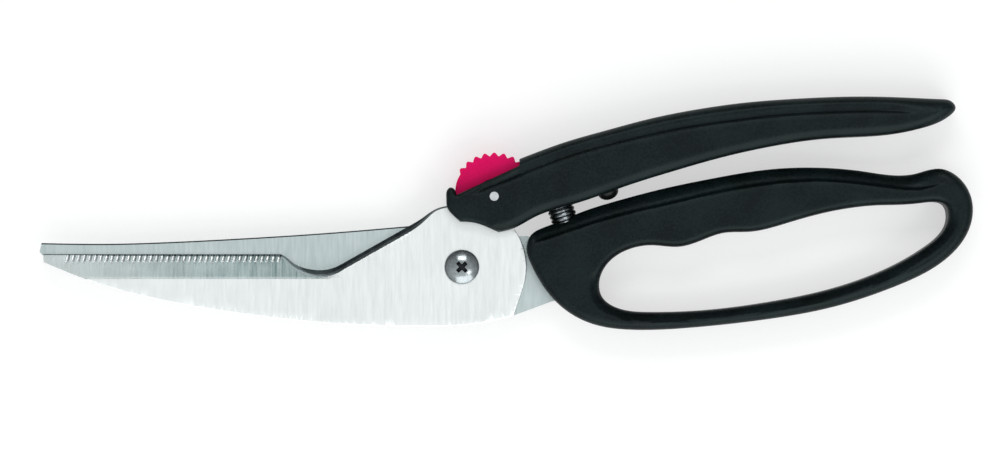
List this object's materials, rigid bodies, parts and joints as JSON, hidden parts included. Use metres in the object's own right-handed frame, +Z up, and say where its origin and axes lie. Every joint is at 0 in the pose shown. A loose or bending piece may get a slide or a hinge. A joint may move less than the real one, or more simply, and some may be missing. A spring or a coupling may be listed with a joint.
{
  "type": "poultry shears",
  "caption": "Curved, serrated shears on a screw pivot, with a loop handle, a straight handle, a coil spring that opens them and a toothed thumb lock.",
  "frame": {"origin": "on the table, under the middle of the closed shears' bounding box", "axes": "+Z up from the table through the blades' faces; +X from the blade tips to the handle ends; +Y towards the straight upper handle. The pivot axis is parallel to Z through x -11.75 mm, y -14.4 mm"},
  "size_m": [0.2497, 0.0624, 0.014],
  "materials": {
    "front_blade_steel": "fine satin brushed",
    "rear_blade_steel": "satin ground",
    "fastener_steel": "bright",
    "spring_steel": "bright drawn wire",
    "brass": "satin",
    "handle_plastic": "fine moulded grain",
    "lever_plastic": "satin moulded",
    "seat_plastic": "moulded",
    "rubber": "moulded"
  },
  "bodies": {
    "loop_side": {"rear_blade": "rear_blade_steel", "loop_front_shell": "handle_plastic", "loop_rear_shell": "handle_plastic", "loop_tang_pins": "fastener_steel", "loop_case_screws": "fastener_steel", "pivot_screw": "fastener_steel", "pivot_nut": "fastener_steel", "spring_washer": "fastener_steel", "shim_washer": "brass", "opening_spring": "spring_steel", "lower_spring_seat": "seat_plastic"},
    "upper_side": {"front_blade": "front_blade_steel", "upper_front_shell": "handle_plastic", "upper_rear_shell": "handle_plastic", "upper_tang_pins": "fastener_steel", "upper_case_screws": "fastener_steel", "lock_pin": "fastener_steel", "detent_ball": "fastener_steel", "detent_spring": "spring_steel", "upper_spring_seat": "seat_plastic", "stop_bumper": "rubber"},
    "lever": {"lock_lever": "lever_plastic"}
  },
  "joints": [
    {"name": "pivot", "type": "hinge", "parent": "loop_side", "child": "upper_side", "pos_m": [-0.01175, -0.0144, 0.007], "axis": [0, 0, 1], "range_deg": [0, 30], "deforming": ["opening_spring"]},
    {"name": "lock_turn", "type": "hinge", "parent": "upper_side", "child": "lever", "pos_m": [-0.00309, 0.0045, 0.007], "axis": [0, 0, 1], "range_deg": [0, 20]}
  ]
}
